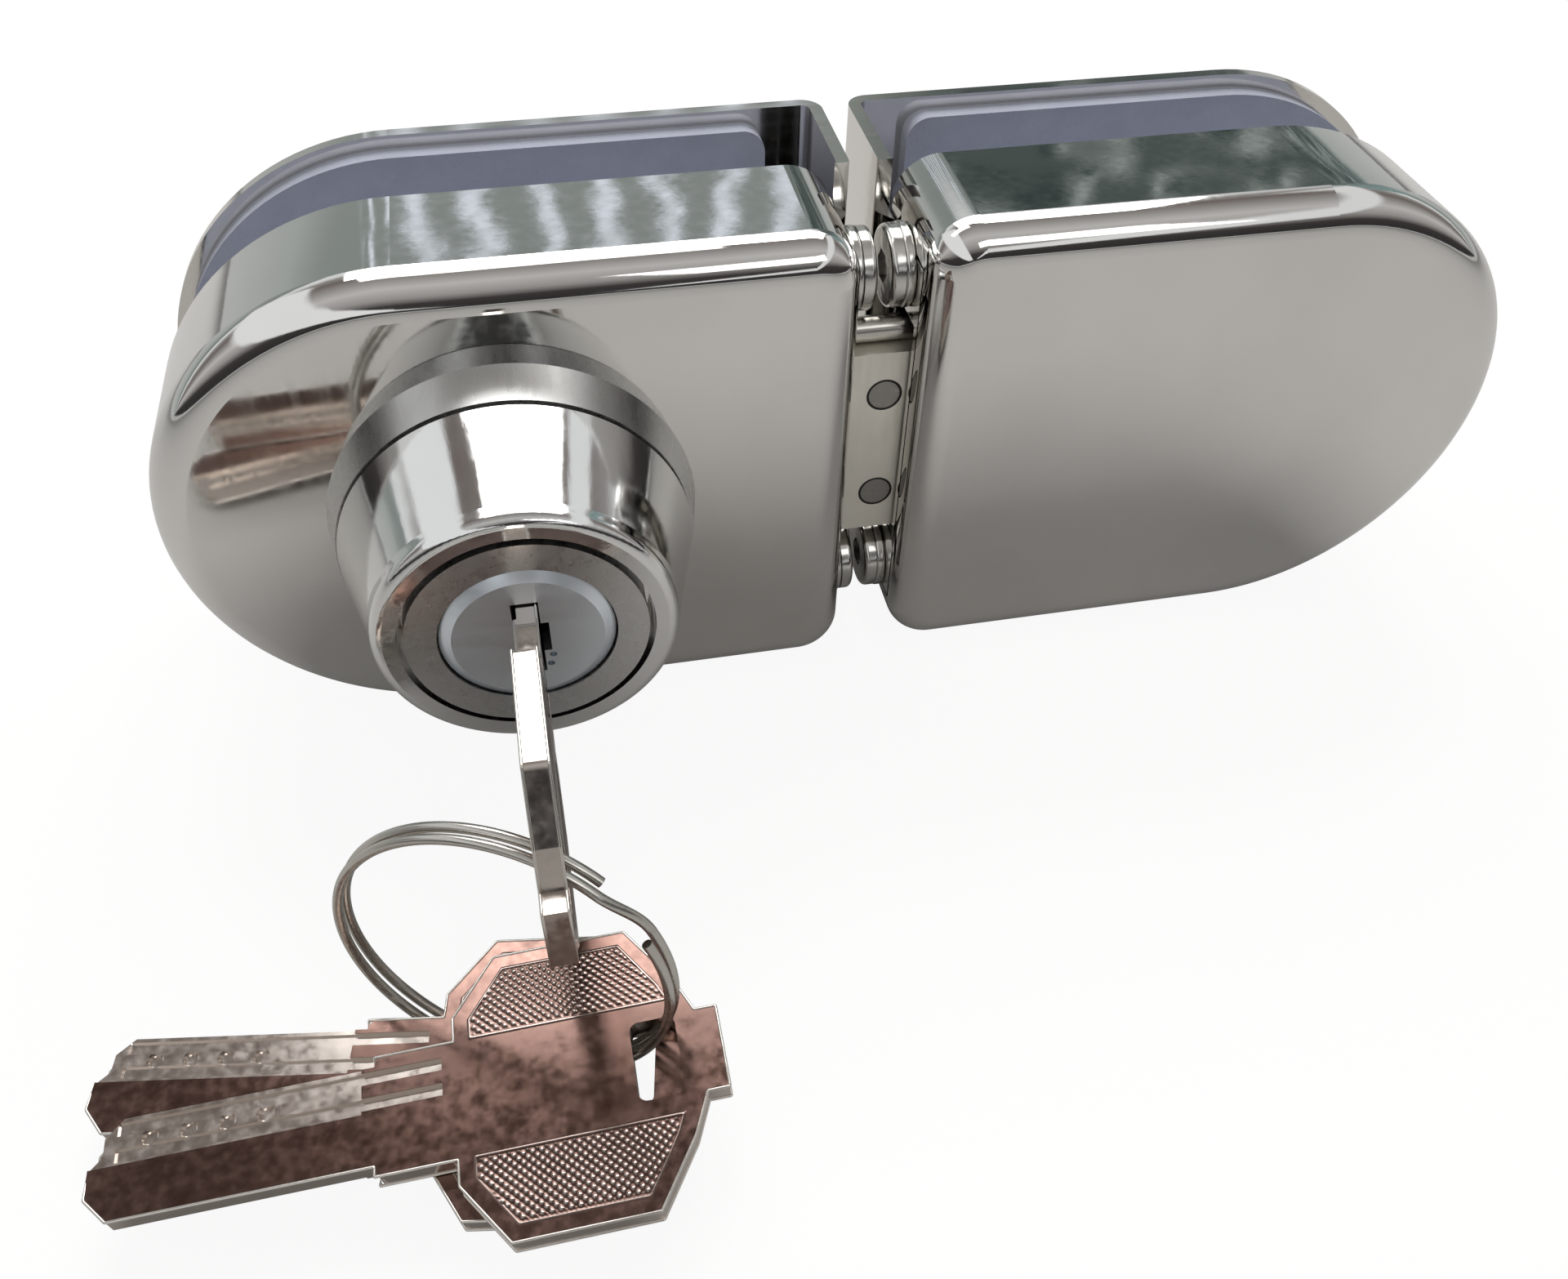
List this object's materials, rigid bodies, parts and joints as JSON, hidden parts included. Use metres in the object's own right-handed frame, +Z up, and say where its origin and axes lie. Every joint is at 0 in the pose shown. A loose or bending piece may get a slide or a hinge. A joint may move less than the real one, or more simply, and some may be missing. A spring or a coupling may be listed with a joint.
{
  "type": "glass door lock",
  "caption": "Polished patch lock for a pair of frameless glass door leaves, with a strike case and dimple keys on a split ring.",
  "frame": {"origin": "on the cylinder axis, where the lock case's front pad meets the glass", "axes": "+X from the lock case to the strike case, -Y towards the key side, +Z up"},
  "size_m": [0.168, 0.1046, 0.0601],
  "materials": {
    "polished_case": "polished stainless steel",
    "polished_sheet": "polished stainless sheet",
    "satin_ring": "satin turned",
    "plain_steel": "bright",
    "bolt_steel": "ground faces, sheared edges",
    "plug_face": "satin",
    "screw_steel": "bright",
    "brass": "bright",
    "nickel_key": "nickel plated",
    "foam": "matte foam"
  },
  "bodies": {
    "lock_case": {"lock_shell": "polished_case", "lock_back_plate": "polished_sheet", "lock_front_pad": "foam", "lock_back_pad": "foam", "lock_chassis": "plain_steel", "lock_end_screws": "screw_steel", "lock_screw_washers": "screw_steel", "lock_chassis_screws": "screw_steel", "bolt_guide": "plain_steel", "cylinder_housing": "satin_ring", "cylinder_nut": "brass", "collar_base_ring": "satin_ring", "cylinder_collar": "polished_case", "driver_pins": "brass", "chamber_caps": "brass", "pin_springs": "plain_steel"},
    "plug": {"cylinder_plug": "plug_face", "key_pins": "brass", "bolt_cam": "plain_steel", "cam_drive_pin": "plain_steel", "cam_screw": "screw_steel"},
    "bolt": {"bolt_front_plate": "bolt_steel", "bolt_middle_plate": "bolt_steel", "bolt_rear_plate": "bolt_steel", "bolt_rivets": "plain_steel", "bolt_guard_rod": "plain_steel"},
    "key": {"door_key": "nickel_key"},
    "ring": {"split_ring": "plain_steel"},
    "spare_lower": {"spare_key_lower": "nickel_key"},
    "spare_upper": {"spare_key_upper": "nickel_key"},
    "strike_case": {"strike_shell": "polished_case", "strike_back_plate": "polished_sheet", "strike_front_pad": "foam", "strike_back_pad": "foam", "strike_chassis": "plain_steel", "strike_end_screws": "screw_steel", "strike_screw_washers": "screw_steel", "strike_chassis_screws": "screw_steel"}
  },
  "joints": [
    {"name": "plug_turn", "type": "hinge", "parent": "lock_case", "child": "plug", "pos_m": [0, 0, 0], "axis": [0, -1, 0], "range_deg": [0, 90.05]},
    {"name": "bolt_slide", "type": "slide", "parent": "lock_case", "child": "bolt", "axis": [-1, 0, 0], "range_m": [0, 0.01697]},
    {"name": "key_pull", "type": "slide", "parent": "plug", "child": "key", "axis": [0, -1, 0], "range_m": [0, 0.03]},
    {"name": "ring_turn", "type": "hinge", "parent": "key", "child": "ring", "pos_m": [-0.00578, -0.0673, -0.01307], "axis": [-0.4283, -0.8983, 0.098], "range_deg": [-4, 4]},
    {"name": "lower_key_fan", "type": "hinge", "parent": "ring", "child": "spare_lower", "pos_m": [0.00509, -0.07364, -0.02373], "axis": [-0.0631, -0.0276, 0.9976], "range_deg": [-2, 12]},
    {"name": "upper_key_fan", "type": "hinge", "parent": "ring", "child": "spare_upper", "pos_m": [0.00693, -0.07422, -0.02098], "axis": [-0.0631, -0.0276, 0.9976], "range_deg": [-12, 8]},
    {"name": "strike_slide", "type": "slide", "parent": "lock_case", "child": "strike_case", "axis": [1, 0, 0], "range_m": [0, 0.03]}
  ],
  "couplings": [
    {"joint": "plug_turn", "follows": "bolt_slide", "rad_per_m": 92.56}
  ]
}
